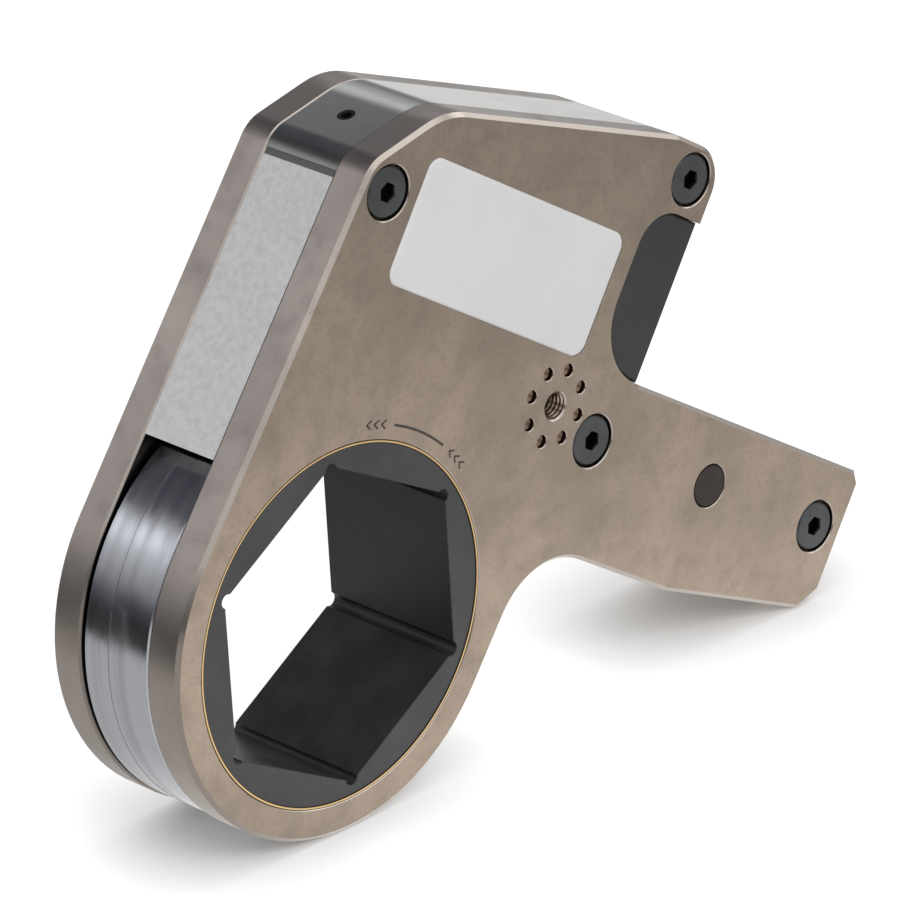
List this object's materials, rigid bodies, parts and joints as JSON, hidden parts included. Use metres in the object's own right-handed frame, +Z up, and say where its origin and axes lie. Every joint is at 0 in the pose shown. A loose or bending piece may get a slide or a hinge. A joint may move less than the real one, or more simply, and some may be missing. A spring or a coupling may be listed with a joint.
{
  "type": "hydraulic torque wrench hexagon cassette",
  "caption": "Low-profile hydraulic torque wrench cassette: two side plates, a hexagon ratchet wheel turned by a lever, a cylinder seat and a reaction arm.",
  "frame": {"origin": "centre of the hexagon, half-way through the tool's thickness", "axes": "+Y out of the rear plate, along the hexagon's axis; +Z up as the tool stands on its nose and on the arm's lower corner; +X towards the reaction arm's end, which slopes down by 32.81 degrees"},
  "size_m": [0.2899, 0.053, 0.2101],
  "materials": {
    "plate_steel": "nickel plated, satin with handling smudges",
    "wheel_black_oxide": "black oxide, satin",
    "bush_bronze": "machined bronze",
    "washer_bronze": "ground bronze",
    "lever_ground_steel": "ground bright",
    "shoe_steel": "hardened and ground",
    "spring_steel": "bright wire",
    "guide_steel": "ground",
    "pin_steel": "hardened and ground",
    "clip_steel": "phosphated",
    "bridge_steel": "plated, fine milled",
    "set_screw_black": "black oxide",
    "dowel_steel": "ground",
    "shroud_aluminium": "brushed, mill finish",
    "seal_rubber": "matt black",
    "seat_black_oxide": "black oxide, matt",
    "rod_bush_bronze": "machined bronze",
    "spacer_steel": "plated, milled",
    "arm_dowel_dark": "dark brown oxide, turned end",
    "screw_black_oxide": "black oxide, satin"
  },
  "bodies": {
    "housing": {"front_side_plate": "plate_steel", "rear_side_plate": "plate_steel", "front_bush": "bush_bronze", "rear_bush": "bush_bronze", "front_thrust_washer": "washer_bronze", "rear_thrust_washer": "washer_bronze", "top_bridge": "bridge_steel", "bridge_set_screw": "set_screw_black", "locating_dowels": "dowel_steel", "front_shroud": "shroud_aluminium", "shroud_seal": "seal_rubber", "drive_seat": "seat_black_oxide", "rod_guide_bush": "rod_bush_bronze", "arm_spacer": "spacer_steel", "arm_dowel": "arm_dowel_dark", "front_plate_screws": "screw_black_oxide", "rear_plate_screws": "screw_black_oxide"},
    "lever": {"drive_lever": "lever_ground_steel", "lever_pin": "pin_steel", "pin_clips": "clip_steel", "shoe_springs": "spring_steel"},
    "shoe": {"drive_shoe": "shoe_steel", "spring_guides": "guide_steel"},
    "wheel": {"ratchet_wheel": "wheel_black_oxide"}
  },
  "joints": [
    {"name": "lever_swing", "type": "hinge", "parent": "housing", "child": "lever", "pos_m": [0, 0, 0], "axis": [0, -1, 0], "range_deg": [0, 24]},
    {"name": "ratchet_spin", "type": "hinge", "parent": "housing", "child": "wheel", "pos_m": [0, 0, 0], "axis": [0, -1, 0], "range_deg": [0, 24]},
    {"name": "shoe_slide", "type": "slide", "parent": "lever", "child": "shoe", "axis": [0.7409, 0, 0.6716], "range_m": [0, 0.002], "stiffness_N_per_m": 3000, "springref_m": -0.006}
  ],
  "couplings": [
    {"joint": "ratchet_spin", "follows": "lever_swing", "ratio": 1}
  ]
}
